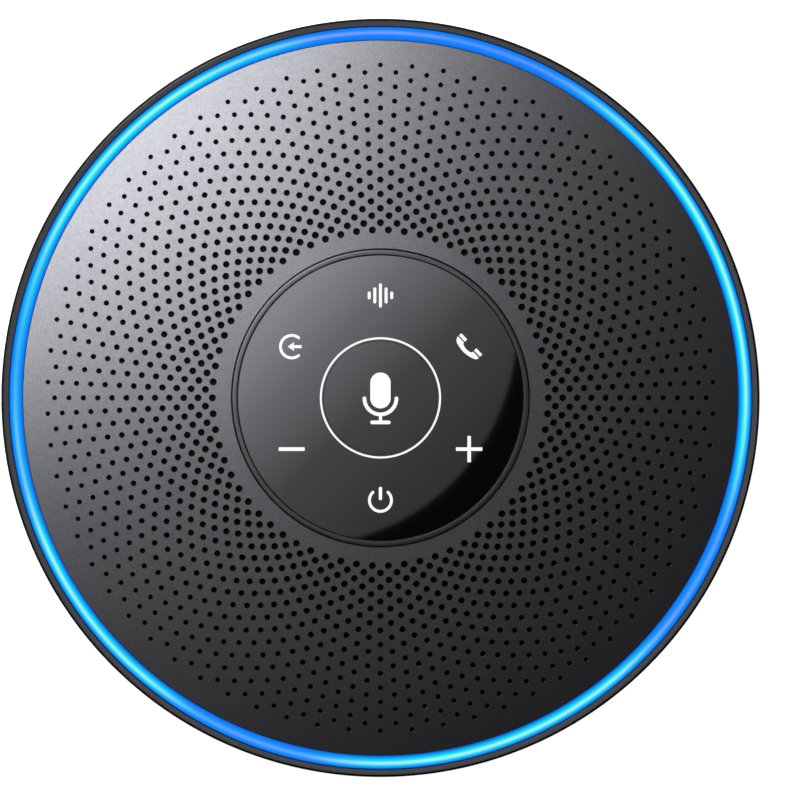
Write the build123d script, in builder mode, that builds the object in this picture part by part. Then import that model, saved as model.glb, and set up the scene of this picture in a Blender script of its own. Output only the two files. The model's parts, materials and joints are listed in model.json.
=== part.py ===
from build123d import *
import math
import os

os.makedirs("parts", exist_ok=True)

# A round tabletop conference speakerphone.
# Frame: origin on the table under the centre of the puck, +Z up, +Y towards the ports at the rear.
# All lengths in millimetres. Every radius is measured from the Z axis unless it belongs to a
# small feature. Pieces that are bonded or clamped keep a 0.05 to 0.1 mm seat gap.

# ---------------------------------------------------------------- driving dimensions
BODY_R = 64.0            # outside of the rim bezel
BODY_H = 37.0            # table to the top of the control panel
SEAT = 0.1               # gap between stacked pieces
FIT = 0.1                # radial gap between nested pieces

# bowl of the lower housing: one arc in side view, upright where it meets the rim
BOWL_R = BODY_R - 0.4    # outside at the rim
BOWL_ARC_R = 37.2        # radius of the side arc
BOWL_ARC_Z = 28.0        # height where the side is upright
BOWL_TOP = 29.3
BOWL_BOTTOM = 1.4
WALL = 2.0
SEAT_RING_R = 49.9       # inner edge of the ledge that sits on the base plate
SEAT_RING_T = 1.2

# base plate, foot and screws
BASE_R = 50.9
BASE_BOTTOM, BASE_TOP = 1.2, 3.2
FOOT_R_IN, FOOT_R_OUT = 40.0, 49.0
FOOT_SEAT = 2.0          # roof of the groove that holds the foot
FOOT_T = FOOT_SEAT - SEAT
LABEL_W, LABEL_H, LABEL_T = 35.6, 21.6, 0.2
LABEL_MARGIN = 0.2       # the recess is this much larger all round
RESET_HOLE_Y, RESET_HOLE_R = -22.0, 0.7
COUNTERBORE_TOP = 3.8    # seat of the housing screws' heads
HOUSING_SCREW_LENGTH = 16.0
POST_PCR = 44.5          # pitch radius of the six posts
POST_R = 3.4
POST_TOP = 13.0
STANDOFF_R = 2.6
SCREW_HEAD_R, SCREW_HEAD_T = 2.3, 1.5
SCREW_R = 1.25
SMALL_HEAD_R, SMALL_HEAD_T = 1.8, 1.1
SMALL_SCREW_R = 0.9

# rim: bezel, light guide, LED ring
RIM_STEP = 0.8           # recessed shadow line between the bowl and the bezel
BEZEL_BOTTOM, RIM_TOP = 30.3, 36.0
BEZEL_R_IN = 62.7
TRIM_R_IN, TRIM_R_OUT, TRIM_T = 62.75, 63.6, 0.6
GUIDE_R_IN, GUIDE_R_OUT = 60.5, 62.58
GUIDE_BOTTOM = 33.0
GUIDE_CROWN = 0.4
LED_COUNT = 24
LED_PCR = 61.2
LED_BOARD_Z, LED_BOARD_T = 31.0, 1.0

# perforated grille
GRILLE_R_IN, GRILLE_R_OUT = 25.13, 60.4
GRILLE_TOP, GRILLE_T = 36.0, 1.2
HOLE_RAYS = 66           # holes in each ring
HOLE_RINGS = 12          # pairs of rings, the second of each pair turned half a pitch
HOLE_R0 = 56.18          # outermost ring
RING_PITCH = 2.42        # from one pair of rings to the next
HOLE_SIZE_OUT, HOLE_SIZE_IN = 0.40, 0.60
MESH_T = 0.35

# top frame
FRAME_SHELF_Z, FRAME_SHELF_T = 29.4, 1.5
FRAME_WALL_IN, FRAME_WALL_OUT = 57.2, 59.2
FRAME_TOP = 34.4
HUB_SHELF_Z, HUB_SHELF_T = 29.2, 1.4
HUB_R_IN, HUB_WALL_IN, HUB_R_OUT = 20.0, 25.6, 27.2
CLAMP_Z, CLAMP_T = 23.4, 1.4
CLAMP_R_IN, CLAMP_R_OUT = 28.6, 37.4
RIB_COUNT, RIB_T = 6, 1.8
CLAMP_SCREW_PCR = 35.4

# control panel
LENS_R, LENS_T, LENS_EDGE = 24.08, 1.6, 0.07
CARRIER_R, CARRIER_STEP_R, CARRIER_BORE_R = 25.4, 24.1, 22.4
CARRIER_FLOOR_Z, CARRIER_FLOOR_T, CARRIER_STEP_Z = 30.7, 1.2, 33.3
CARRIER_SCREW_PCR = 23.9
PANEL_BEZEL_R_IN, PANEL_BEZEL_R_OUT, PANEL_BEZEL_TOP = 24.14, 24.98, 36.7
CONTROL_BOARD_Z, CONTROL_BOARD_T = 32.3, 1.0
MUTE_RING_R_IN, MUTE_RING_R_OUT = 9.9, 10.22
KEY_R, KEY_FLANGE_R = 9.7, 11.4
ICON_PCR = 17.28         # pitch radius of the six outer icons
ICON_DEPTH = 0.35
ICON_STROKE = 0.47

# speaker driver and its chamber
CHAMBER_R, CHAMBER_WALL = 33.4, 1.8
CHAMBER_FLOOR_Z, CHAMBER_FLOOR_T, CHAMBER_TOP = 3.3, 1.4, 21.0
DRIVER_FLANGE_Z, DRIVER_FLANGE_T = 21.6, 1.2
YOKE_R, YOKE_WALL, YOKE_BOTTOM, YOKE_TOP, YOKE_FLOOR_T = 14.5, 2.8, 5.0, 13.4, 2.2
MAGNET_R, WASHER_R, WASHER_T = 10.0, 10.2, 2.2
COIL_R_IN, COIL_R_OUT, COIL_BOTTOM, COIL_TOP = 10.5, 11.3, 9.4, 18.2

# main board, ports and battery
BOARD_Z, BOARD_T = 6.0, 1.6
BOARD_R_IN, BOARD_R_OUT, BOARD_TONGUE_W = 35.0, 48.0, 26.0
PORT_FACE_Y = 55.6       # flat face of the port pocket
PORT_POCKET_W, PORT_POCKET_H, PORT_Z = 31.0, 8.0, 9.2
PORT_BLOCK_FACE_Y, PORT_BLOCK_W, PORT_BLOCK_H = 53.2, 35.0, 10.2
USB_X, USB_W, USB_H, USB_SHELL, USB_LENGTH = -7.5, 8.94, 3.16, 0.3, 7.4
AUX_X, AUX_Z, AUX_BORE_R, AUX_BORE_LENGTH, AUX_NOSE_R = 8.5, 10.1, 1.8, 14.0, 3.0
BATTERY_L, BATTERY_W, BATTERY_H = 34.0, 11.0, 14.4
BATTERY_Y, BATTERY_Z = -40.1, 4.8

BOARD_TOP = BOARD_Z + BOARD_T
LENS_BOTTOM = BODY_H - LENS_T
MIC_ANGLES = (45, 135, 225, 315)
MIC_PCR = 53.0


# ---------------------------------------------------------------- shared shapes
def bowl_radius(z, inset=0.0):
    """Radius of the bowl's side arc at height z, moved in by inset."""
    reach = math.sqrt((BOWL_ARC_R - inset) ** 2 - (BOWL_ARC_Z - z) ** 2)
    return BOWL_R - BOWL_ARC_R + reach


def polar(radius, degrees):
    """Point at an angle measured anticlockwise from +X."""
    angle = math.radians(degrees)
    return (radius * math.cos(angle), radius * math.sin(angle))


def clock(radius, degrees):
    """Point at an angle measured clockwise from +Y, as icons are read on the panel."""
    return polar(radius, 90 - degrees)


def plain_ring(r_out, r_in, z_low, z_high):
    """Flat ring, or a disc where r_in is 0."""
    with BuildPart() as ring:
        with BuildSketch(Plane.XY.offset(z_low)):
            Circle(r_out)
            if r_in > 0:
                Circle(r_in, mode=Mode.SUBTRACT)
        extrude(amount=z_high - z_low)
    return ring


def turned(*outline):
    """Solid of revolution about Z from a closed outline of (radius, height) points."""
    with BuildPart() as body:
        with BuildSketch(Plane.XZ):
            Polygon(*outline, align=None)
        revolve(axis=Axis.Z)
    return body


def thin_dome(rim_r, rim_z, rise, thickness):
    """Shell between two concentric spheres, cut off level at its rim."""
    sphere_r = (rim_r ** 2 + rise ** 2) / (2 * rise)
    with BuildPart() as dome:
        with Locations((0, 0, rim_z + rise - sphere_r)):
            Sphere(sphere_r)
            Sphere(sphere_r - thickness, mode=Mode.SUBTRACT)
        split(bisect_by=Plane.XY.offset(rim_z), keep=Keep.TOP)
    return dome


def pan_screw(head_r, head_t, shank_r, length):
    """Screw that points up, its head's seat at z = 0 and a cross recess below."""
    with BuildPart() as screw:
        with BuildSketch(Plane.XY.offset(-head_t)):
            Circle(head_r)
        extrude(amount=head_t)
        chamfer(screw.edges().group_by(Axis.Z)[0], 0.3)
        with BuildSketch():
            Circle(shank_r)
        extrude(amount=length)
        chamfer(screw.edges().group_by(Axis.Z)[-1], 0.3)
        with BuildSketch(Plane.XY.offset(-head_t)):
            Rectangle(1.2 * head_r, 0.25 * head_r)
            Rectangle(0.25 * head_r, 1.2 * head_r)
        extrude(amount=0.55 * head_t, mode=Mode.SUBTRACT)
    return screw.part


def save(piece, node):
    """Label one finished sub-part and write it as its own STEP file."""
    piece.part.label = node
    export_step(piece.part, f"parts/{node}.step")


# ---------------------------------------------------------------- foot and base plate
with BuildPart() as foot_ring:
    with BuildSketch(Plane.XZ):
        with Locations(((FOOT_R_IN + FOOT_R_OUT) / 2, FOOT_T / 2)):
            Rectangle(FOOT_R_OUT - FOOT_R_IN - 2 * FIT, FOOT_T)
    revolve(axis=Axis.Z)
    fillet(foot_ring.edges().group_by(Axis.Z)[0], 0.6)
save(foot_ring, "foot_ring")

with BuildPart() as base_plate:
    with BuildSketch(Plane.XY.offset(BASE_BOTTOM)):
        Circle(BASE_R)
    extrude(amount=BASE_TOP - BASE_BOTTOM)
    fillet(base_plate.edges().group_by(Axis.Z)[0], 0.5)
    with BuildSketch(Plane.XY.offset(BASE_TOP)):
        with PolarLocations(POST_PCR, RIB_COUNT):
            Circle(POST_R)
    extrude(amount=POST_TOP - BASE_TOP)
    with BuildSketch(Plane.XY.offset(BASE_TOP)):
        with PolarLocations(POST_PCR, 3, start_angle=30, angular_range=120, endpoint=True):
            Circle(STANDOFF_R)
    extrude(amount=BOARD_Z - BASE_TOP)
    with BuildSketch(Plane.XY.offset(BASE_BOTTOM)):
        Circle(FOOT_R_OUT)
        Circle(FOOT_R_IN, mode=Mode.SUBTRACT)
    extrude(amount=FOOT_SEAT - BASE_BOTTOM, mode=Mode.SUBTRACT)
    with BuildSketch(Plane.XY.offset(FOOT_SEAT)):
        with PolarLocations(POST_PCR, RIB_COUNT):
            Circle(SCREW_HEAD_R + 0.2)
    extrude(amount=COUNTERBORE_TOP - FOOT_SEAT, mode=Mode.SUBTRACT)
    with BuildSketch(Plane.XY.offset(FOOT_SEAT)):
        with PolarLocations(POST_PCR, RIB_COUNT):
            Circle(SCREW_R + 0.2)
    extrude(amount=POST_TOP, mode=Mode.SUBTRACT)
    with BuildSketch(Plane.XY.offset(BOARD_Z)):
        with PolarLocations(POST_PCR, 3, start_angle=30, angular_range=120, endpoint=True):
            Circle(SMALL_SCREW_R + 0.05)
    extrude(amount=-3.6, mode=Mode.SUBTRACT)
    with BuildSketch(Plane.XY.offset(BASE_BOTTOM)):
        RectangleRounded(LABEL_W + 2 * LABEL_MARGIN, LABEL_H + 2 * LABEL_MARGIN, 2)
    extrude(amount=LABEL_T + SEAT, mode=Mode.SUBTRACT)
    with BuildSketch(Plane.XY.offset(BASE_BOTTOM)):
        with Locations((0, RESET_HOLE_Y)):
            Circle(RESET_HOLE_R)
    extrude(amount=BASE_TOP, mode=Mode.SUBTRACT)
save(base_plate, "base_plate")

with BuildPart() as blank_label:
    with BuildSketch(Plane.XY.offset(BASE_BOTTOM + SEAT)):
        RectangleRounded(LABEL_W, LABEL_H, 1.8)
    extrude(amount=LABEL_T - 0.02)
save(blank_label, "blank_label")

housing_screw = pan_screw(SCREW_HEAD_R, SCREW_HEAD_T, SCREW_R, HOUSING_SCREW_LENGTH)
with BuildPart() as housing_screws:
    with PolarLocations(POST_PCR, RIB_COUNT):
        with Locations((0, 0, COUNTERBORE_TOP)):
            add(housing_screw)
save(housing_screws, "housing_screws")

# ---------------------------------------------------------------- lower housing
with BuildPart() as bowl_cavity:
    with BuildSketch(Plane.XZ):
        with BuildLine():
            z_ledge = BASE_TOP + SEAT + SEAT_RING_T
            z_mid = (z_ledge + BOWL_ARC_Z) / 2
            Polyline(
                (bowl_radius(z_ledge, WALL), z_ledge),
                (SEAT_RING_R, z_ledge),
                (SEAT_RING_R, BASE_TOP + SEAT),
                (BASE_R + 0.2, BASE_TOP + SEAT),
                (BASE_R + 0.2, 0),
                (0, 0),
                (0, BOWL_TOP + 1),
                (BOWL_R - WALL, BOWL_TOP + 1),
                (BOWL_R - WALL, BOWL_ARC_Z),
            )
            ThreePointArc(
                (BOWL_R - WALL, BOWL_ARC_Z),
                (bowl_radius(z_mid, WALL), z_mid),
                (bowl_radius(z_ledge, WALL), z_ledge),
            )
        make_face()
    revolve(axis=Axis.Z)
    with Locations((0, PORT_BLOCK_FACE_Y, PORT_Z + 0.3)):
        port_block_align = (Align.CENTER, Align.MIN, Align.CENTER)
        Box(PORT_BLOCK_W, 10, PORT_BLOCK_H, align=port_block_align, mode=Mode.SUBTRACT)

with BuildPart() as lower_housing:
    with BuildSketch(Plane.XZ):
        with BuildLine():
            z_mid = (BOWL_BOTTOM + BOWL_ARC_Z) / 2
            ThreePointArc(
                (bowl_radius(BOWL_BOTTOM), BOWL_BOTTOM),
                (bowl_radius(z_mid), z_mid),
                (BOWL_R, BOWL_ARC_Z),
            )
            Polyline(
                (BOWL_R, BOWL_ARC_Z),
                (BOWL_R, BOWL_TOP),
                (0, BOWL_TOP),
                (0, BOWL_BOTTOM),
                (bowl_radius(BOWL_BOTTOM), BOWL_BOTTOM),
            )
        make_face()
    revolve(axis=Axis.Z)
    fillet(lower_housing.edges().group_by(Axis.Z)[0], 0.6)
    chamfer(lower_housing.edges().group_by(Axis.Z)[-1], 0.3)
    add(bowl_cavity.part, mode=Mode.SUBTRACT)
    with BuildSketch(Plane.XZ.offset(-PORT_FACE_Y)):
        with Locations((0, PORT_Z)):
            RectangleRounded(PORT_POCKET_W, PORT_POCKET_H, 2.2)
    extrude(amount=-12, mode=Mode.SUBTRACT)
    with BuildSketch(Plane.XZ.offset(-PORT_BLOCK_FACE_Y + 1)):
        with Locations((USB_X, PORT_Z)):
            RectangleRounded(USB_W + 0.4, USB_H + 0.4, 1.7)
        with Locations((AUX_X, AUX_Z)):
            Circle(AUX_NOSE_R + 0.15)
    extrude(amount=-5, mode=Mode.SUBTRACT)
save(lower_housing, "lower_housing")

# ---------------------------------------------------------------- main board and what it carries
with BuildPart() as main_board:
    with BuildSketch(Plane.XY.offset(BOARD_Z + 0.05)):
        Circle(BOARD_R_OUT)
        Circle(BOARD_R_IN, mode=Mode.SUBTRACT)
        Polygon((0, 0), polar(90, 195), (0, -120), polar(90, 345), align=None, mode=Mode.SUBTRACT)
        with Locations((0, 45.5)):
            Rectangle(BOARD_TONGUE_W, 12)
        with PolarLocations(POST_PCR, 4, start_angle=0, angular_range=180, endpoint=True):
            Circle(POST_R + 0.4, mode=Mode.SUBTRACT)
        with PolarLocations(POST_PCR, 3, start_angle=30, angular_range=120, endpoint=True):
            Circle(SMALL_SCREW_R + 0.15, mode=Mode.SUBTRACT)
    extrude(amount=BOARD_T - 0.05)
save(main_board, "main_board")

board_screw = pan_screw(SMALL_HEAD_R, SMALL_HEAD_T, SMALL_SCREW_R, 4.6)
with BuildPart() as board_screws:
    with PolarLocations(POST_PCR, 3, start_angle=30, angular_range=120, endpoint=True):
        with Locations(Location((0, 0, BOARD_TOP + 0.05), (180, 0, 0))):
            add(board_screw)
save(board_screws, "board_screws")


def board_block(radius, degrees, length, width, height):
    """Block that lies on the main board, its length along the tangent."""
    with BuildPart() as block:
        with PolarLocations(radius, 1, start_angle=degrees):
            with Locations((0, 0, BOARD_TOP)):
                Box(width, length, height, align=(Align.CENTER, Align.CENTER, Align.MIN))
        chamfer(block.edges().group_by(Axis.Z)[-1], 0.15)
    return block


save(board_block(41.0, 45, 9.0, 9.0, 0.9), "audio_processor")
save(board_block(41.5, 136, 14.0, 10.0, 1.8), "radio_shield_can")
save(board_block(41.0, 14, 6.0, 6.0, 0.9), "speaker_amplifier")
save(board_block(38.6, 188, 6.0, 4.4, 4.6), "battery_connector")

with BuildPart() as usb_c_socket:
    with BuildSketch(Plane.XZ.offset(-PORT_FACE_Y + 0.1)):
        with Locations((USB_X, PORT_Z)):
            RectangleRounded(USB_W, USB_H, 1.5)
    extrude(amount=USB_LENGTH)
    with BuildSketch(Plane.XZ.offset(-PORT_FACE_Y + 0.1)):
        with Locations((USB_X, PORT_Z)):
            RectangleRounded(USB_W - 2 * USB_SHELL, USB_H - 2 * USB_SHELL, 1.2)
    extrude(amount=USB_LENGTH - 0.8, mode=Mode.SUBTRACT)
    with BuildSketch(Plane.XZ.offset(-PORT_FACE_Y + 0.7)):
        with Locations((USB_X, PORT_Z)):
            RectangleRounded(6.69, 0.7, 0.25)
    extrude(amount=USB_LENGTH - 0.9)
save(usb_c_socket, "usb_c_socket")

AUX_MOUTH_Y = PORT_FACE_Y - 0.1
AUX_NOSE_L = AUX_MOUTH_Y - PORT_BLOCK_FACE_Y + 0.2
with BuildPart() as aux_jack:
    with BuildSketch(Plane.XZ.offset(-AUX_MOUTH_Y + AUX_NOSE_L)):
        with Locations((AUX_X, AUX_Z)):
            Rectangle(6.4, 2 * (AUX_Z - BOARD_TOP))
    extrude(amount=AUX_BORE_LENGTH + 1 - AUX_NOSE_L)
    fillet(aux_jack.edges().filter_by(Axis.Y), 0.4)
    with BuildSketch(Plane.XZ.offset(-AUX_MOUTH_Y)):
        with Locations((AUX_X, AUX_Z)):
            Circle(AUX_NOSE_R)
    extrude(amount=AUX_NOSE_L)
    with BuildSketch(Plane.XZ.offset(-AUX_MOUTH_Y)):
        with Locations((AUX_X, AUX_Z)):
            Circle(AUX_BORE_R)
    extrude(amount=AUX_BORE_LENGTH, mode=Mode.SUBTRACT)
save(aux_jack, "aux_jack")

# ---------------------------------------------------------------- battery
TRAY_WALL, TRAY_TOP = 0.7, 12.0
with BuildPart() as battery_tray:
    with BuildSketch(Plane.XY.offset(BASE_TOP + SEAT)):
        with Locations((0, BATTERY_Y)):
            Rectangle(BATTERY_L + 2 * (TRAY_WALL + FIT), BATTERY_W + 2 * (TRAY_WALL + FIT))
    extrude(amount=TRAY_TOP - BASE_TOP - SEAT)
    with BuildSketch(Plane.XY.offset(BATTERY_Z - SEAT)):
        with Locations((0, BATTERY_Y)):
            Rectangle(BATTERY_L + 2 * FIT, BATTERY_W + 2 * FIT)
    extrude(amount=TRAY_TOP, mode=Mode.SUBTRACT)
save(battery_tray, "battery_tray")

with BuildPart() as battery_cell:
    with Locations((0, BATTERY_Y, BATTERY_Z)):
        Box(BATTERY_L, BATTERY_W, BATTERY_H, align=(Align.CENTER, Align.CENTER, Align.MIN))
    fillet(battery_cell.edges().filter_by(Axis.X), 1.5)
save(battery_cell, "battery_cell")

LEAD_R, LEAD_RING_R = 0.7, 39.0
LEAD_START, LEAD_SWEEP = 194, 40
with BuildPart() as battery_lead:
    for lead_z in (9.4, 11.4):
        lead_end = Plane(
            origin=(*polar(LEAD_RING_R, LEAD_START), lead_z),
            x_dir=(*polar(1, LEAD_START), 0),
            z_dir=(*polar(1, LEAD_START + 90), 0),
        )
        with BuildSketch(lead_end):
            Circle(LEAD_R)
        revolve(axis=Axis.Z, revolution_arc=LEAD_SWEEP)
save(battery_lead, "battery_lead")

# ---------------------------------------------------------------- speaker chamber and driver
chamber_bore = CHAMBER_R - CHAMBER_WALL
with BuildPart() as speaker_chamber:
    with BuildSketch(Plane.XZ):
        Polygon(
            (0, CHAMBER_FLOOR_Z),
            (CHAMBER_R, CHAMBER_FLOOR_Z),
            (CHAMBER_R, CHAMBER_TOP - 1.4),
            (CLAMP_R_OUT, CHAMBER_TOP - 1.4),
            (CLAMP_R_OUT, CHAMBER_TOP),
            (chamber_bore, CHAMBER_TOP),
            (chamber_bore, CHAMBER_FLOOR_Z + CHAMBER_FLOOR_T),
            (0, CHAMBER_FLOOR_Z + CHAMBER_FLOOR_T),
            align=None,
        )
    revolve(axis=Axis.Z)
    with BuildSketch(Plane.XY.offset(CHAMBER_TOP - 9)):
        with PolarLocations(CLAMP_SCREW_PCR, 4, start_angle=45):
            Circle(2.4)
        Circle(chamber_bore + 0.5, mode=Mode.SUBTRACT)
    extrude(amount=9)
    with BuildSketch(Plane.XY.offset(CHAMBER_TOP)):
        with PolarLocations(CLAMP_SCREW_PCR, 4, start_angle=45):
            Circle(SMALL_SCREW_R + 0.05)
    extrude(amount=-7, mode=Mode.SUBTRACT)
save(speaker_chamber, "speaker_chamber")

save(plain_ring(CHAMBER_R, chamber_bore, CHAMBER_TOP, DRIVER_FLANGE_Z), "driver_gasket")
flange_top = DRIVER_FLANGE_Z + DRIVER_FLANGE_T
save(plain_ring(CHAMBER_R, CLAMP_R_IN, flange_top, CLAMP_Z), "front_gasket")

BASKET_FLOOR_T, SPIDER_SEAT = 1.2, 16.4
with BuildPart() as driver_basket:
    with BuildSketch(Plane.XZ):
        Polygon(
            (12.2, YOKE_TOP),
            (19.6, YOKE_TOP),
            (20.8, 15.2),
            (28.8, DRIVER_FLANGE_Z),
            (CHAMBER_R, DRIVER_FLANGE_Z),
            (CHAMBER_R, flange_top),
            (27.6, flange_top),
            (27.6, flange_top - 0.6),
            (20.4, SPIDER_SEAT),
            (18.6, SPIDER_SEAT),
            (18.6, YOKE_TOP + BASKET_FLOOR_T),
            (12.2, YOKE_TOP + BASKET_FLOOR_T),
            align=None,
        )
    revolve(axis=Axis.Z)
    with BuildSketch(Plane.XY.offset(YOKE_TOP)):
        Circle(26.6)
        Circle(21.4, mode=Mode.SUBTRACT)
        with PolarLocations(24, 6):
            Rectangle(8, 7, mode=Mode.SUBTRACT)
    extrude(amount=DRIVER_FLANGE_Z - YOKE_TOP + 0.6, mode=Mode.SUBTRACT)
save(driver_basket, "driver_basket")

yoke_bore = YOKE_R - YOKE_WALL
yoke_cup = turned(
    (0, YOKE_BOTTOM),
    (YOKE_R - 1, YOKE_BOTTOM),
    (YOKE_R, YOKE_BOTTOM + 1),
    (YOKE_R, YOKE_TOP),
    (yoke_bore, YOKE_TOP),
    (yoke_bore, YOKE_BOTTOM + YOKE_FLOOR_T),
    (0, YOKE_BOTTOM + YOKE_FLOOR_T),
)
save(yoke_cup, "yoke_cup")
magnet_bottom, washer_bottom = YOKE_BOTTOM + YOKE_FLOOR_T, YOKE_TOP - WASHER_T
save(plain_ring(MAGNET_R, 0, magnet_bottom, washer_bottom), "driver_magnet")
save(plain_ring(WASHER_R, 0, washer_bottom, YOKE_TOP), "pole_washer")
save(plain_ring(COIL_R_OUT, COIL_R_IN, COIL_BOTTOM, COIL_TOP), "voice_coil")

CONE_R_IN, CONE_R_OUT, CONE_NECK_Z = 11.4, 22.4, 17.5
speaker_cone = turned(
    (CONE_R_IN, CONE_NECK_Z),
    (21.4, 22.25),
    (CONE_R_OUT, 22.25),
    (CONE_R_OUT, 22.75),
    (21.3, 22.75),
    (CONE_R_IN, CONE_NECK_Z + 0.55),
)
save(speaker_cone, "speaker_cone")

dust_cap = thin_dome(rim_r=12.6, rim_z=18.75, rise=2.8, thickness=0.4)
save(dust_cap, "dust_cap")

ROLL_MID, ROLL_R, ROLL_T, LIP_W = 24.9, 2.4, 0.35, 1.0
with BuildPart() as surround:
    with BuildSketch(Plane.XZ):
        with Locations((ROLL_MID, flange_top)):
            Circle(ROLL_R)
            Circle(ROLL_R - ROLL_T, mode=Mode.SUBTRACT)
        with Locations((ROLL_MID, flange_top)):
            Rectangle(2 * ROLL_R + 1, ROLL_R + 1, align=(Align.CENTER, Align.MAX), mode=Mode.SUBTRACT)
        for side in (-1, 1):
            with Locations((ROLL_MID + side * (ROLL_R + LIP_W / 2 - 0.1), flange_top + ROLL_T / 2)):
                Rectangle(LIP_W, ROLL_T)
    revolve(axis=Axis.Z)
save(surround, "surround")

SPIDER_R_IN, SPIDER_R_OUT, SPIDER_T, SPIDER_WAVES = 11.45, 20.2, 0.3, 4
wave_in, wave_out = 12.6, 18.4
wave_steps = range(8 * SPIDER_WAVES + 1)


def spider_wave(step):
    """Point of the spider's underside, corrugated between its two flat landings."""
    share = step / (8 * SPIDER_WAVES)
    radius = wave_in + (wave_out - wave_in) * share
    return (radius, SPIDER_SEAT + 0.35 * math.sin(2 * math.pi * SPIDER_WAVES * share))


underside = [(SPIDER_R_IN, SPIDER_SEAT), *map(spider_wave, wave_steps), (SPIDER_R_OUT, SPIDER_SEAT)]
spider = turned(*underside, *[(radius, z + SPIDER_T) for radius, z in reversed(underside)])
save(spider, "spider")

# ---------------------------------------------------------------- top frame
with BuildPart() as top_frame:
    with BuildSketch(Plane.XZ):
        shelf_top = FRAME_SHELF_Z + FRAME_SHELF_T
        flange_lip = FRAME_SHELF_Z + RIM_STEP
        Polygon(
            (FRAME_WALL_IN, FRAME_SHELF_Z),
            (BOWL_R - WALL - 1.6, FRAME_SHELF_Z),
            (BOWL_R - WALL - 1.6, FRAME_SHELF_Z - 2),
            (BOWL_R - WALL - 0.2, FRAME_SHELF_Z - 2),
            (BOWL_R - WALL - 0.2, FRAME_SHELF_Z),
            (BOWL_R - 0.4, FRAME_SHELF_Z),
            (BOWL_R - 0.4, flange_lip),
            (BEZEL_R_IN - 0.2, flange_lip),
            (BEZEL_R_IN - 0.2, shelf_top),
            (FRAME_WALL_OUT, shelf_top),
            (FRAME_WALL_OUT, FRAME_TOP),
            (FRAME_WALL_IN, FRAME_TOP),
            align=None,
        )
        Polygon(
            (HUB_R_IN, HUB_SHELF_Z),
            (HUB_R_OUT, HUB_SHELF_Z),
            (HUB_R_OUT, FRAME_TOP),
            (HUB_WALL_IN, FRAME_TOP),
            (HUB_WALL_IN, HUB_SHELF_Z + HUB_SHELF_T),
            (HUB_R_IN, HUB_SHELF_Z + HUB_SHELF_T),
            align=None,
        )
        with Locations(((CLAMP_R_IN + CLAMP_R_OUT) / 2, CLAMP_Z + CLAMP_T / 2)):
            Rectangle(CLAMP_R_OUT - CLAMP_R_IN, CLAMP_T)
    revolve(axis=Axis.Z)
    rib_planes = [Plane.XZ.rotated((0, 0, 360 / RIB_COUNT * i)) for i in range(RIB_COUNT)]
    with BuildSketch(*rib_planes):
        Polygon(
            (HUB_R_IN + 0.5, HUB_SHELF_Z),
            (CLAMP_R_IN, HUB_SHELF_Z - 1),
            (CLAMP_R_IN, CLAMP_Z),
            (CLAMP_R_OUT, CLAMP_Z),
            (FRAME_WALL_IN + 0.2, FRAME_SHELF_Z),
            (FRAME_WALL_IN + 0.2, FRAME_SHELF_Z + 2.2),
            (HUB_R_OUT - 0.2, FRAME_SHELF_Z + 2.2),
            (HUB_R_OUT - 0.2, HUB_SHELF_Z + HUB_SHELF_T),
            (HUB_R_IN + 0.5, HUB_SHELF_Z + HUB_SHELF_T),
            align=None,
        )
    extrude(amount=RIB_T / 2, both=True)
    with BuildSketch(Plane.XY.offset(POST_TOP + SEAT)):
        with PolarLocations(POST_PCR, RIB_COUNT):
            Circle(POST_R)
    extrude(amount=28.0 - POST_TOP)
    with BuildSketch(Plane.XY.offset(CHAMBER_TOP + SEAT)):
        with PolarLocations(CLAMP_SCREW_PCR, 4, start_angle=45):
            Circle(1.8)
    extrude(amount=CLAMP_Z + CLAMP_T - CHAMBER_TOP)
    with BuildSketch(Plane.XY.offset(FRAME_SHELF_Z)):
        with PolarLocations(MIC_PCR, 4, start_angle=45):
            Rectangle(9.4, 10)
    extrude(amount=FRAME_SHELF_T)
    with BuildSketch(Plane.XY.offset(POST_TOP)):
        with PolarLocations(POST_PCR, RIB_COUNT):
            Circle(SCREW_R + 0.05)
    extrude(amount=8, mode=Mode.SUBTRACT)
    with BuildSketch(Plane.XY.offset(CHAMBER_TOP)):
        with PolarLocations(CLAMP_SCREW_PCR, 4, start_angle=45):
            Circle(SMALL_SCREW_R + 0.15)
    extrude(amount=10, mode=Mode.SUBTRACT)
    with BuildSketch(Plane.XY.offset(HUB_SHELF_Z)):
        with PolarLocations(CARRIER_SCREW_PCR, 3, start_angle=30):
            Circle(SMALL_SCREW_R + 0.15)
        with Locations((0, 21.3)):
            Rectangle(8.4, 1.8)
    extrude(amount=HUB_SHELF_T, mode=Mode.SUBTRACT)
save(top_frame, "top_frame")

clamp_screw = pan_screw(SMALL_HEAD_R, SMALL_HEAD_T, SMALL_SCREW_R, 9.0)
with BuildPart() as driver_screws:
    with PolarLocations(CLAMP_SCREW_PCR, 4, start_angle=45):
        with Locations(Location((0, 0, CLAMP_Z + CLAMP_T + 0.35), (180, 0, 0))):
            add(clamp_screw)
save(driver_screws, "driver_screws")

carrier_screw = pan_screw(SMALL_HEAD_R, SMALL_HEAD_T, SMALL_SCREW_R - 0.1, 3.6)
with BuildPart() as carrier_screws:
    with PolarLocations(CARRIER_SCREW_PCR, 3, start_angle=30):
        with Locations((0, 0, HUB_SHELF_Z - 0.05)):
            add(carrier_screw)
save(carrier_screws, "carrier_screws")

# ---------------------------------------------------------------- rim: LEDs, light guide, bezel
save(plain_ring(62.3, FRAME_WALL_OUT + 0.15, LED_BOARD_Z, LED_BOARD_Z + LED_BOARD_T), "led_ring_board")

with BuildPart() as ring_leds:
    with PolarLocations(LED_PCR, LED_COUNT, start_angle=7.5):
        with Locations((0, 0, LED_BOARD_Z + LED_BOARD_T)):
            Box(1.4, 1.6, 0.8, align=(Align.CENTER, Align.CENTER, Align.MIN))
save(ring_leds, "ring_leds")

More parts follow.
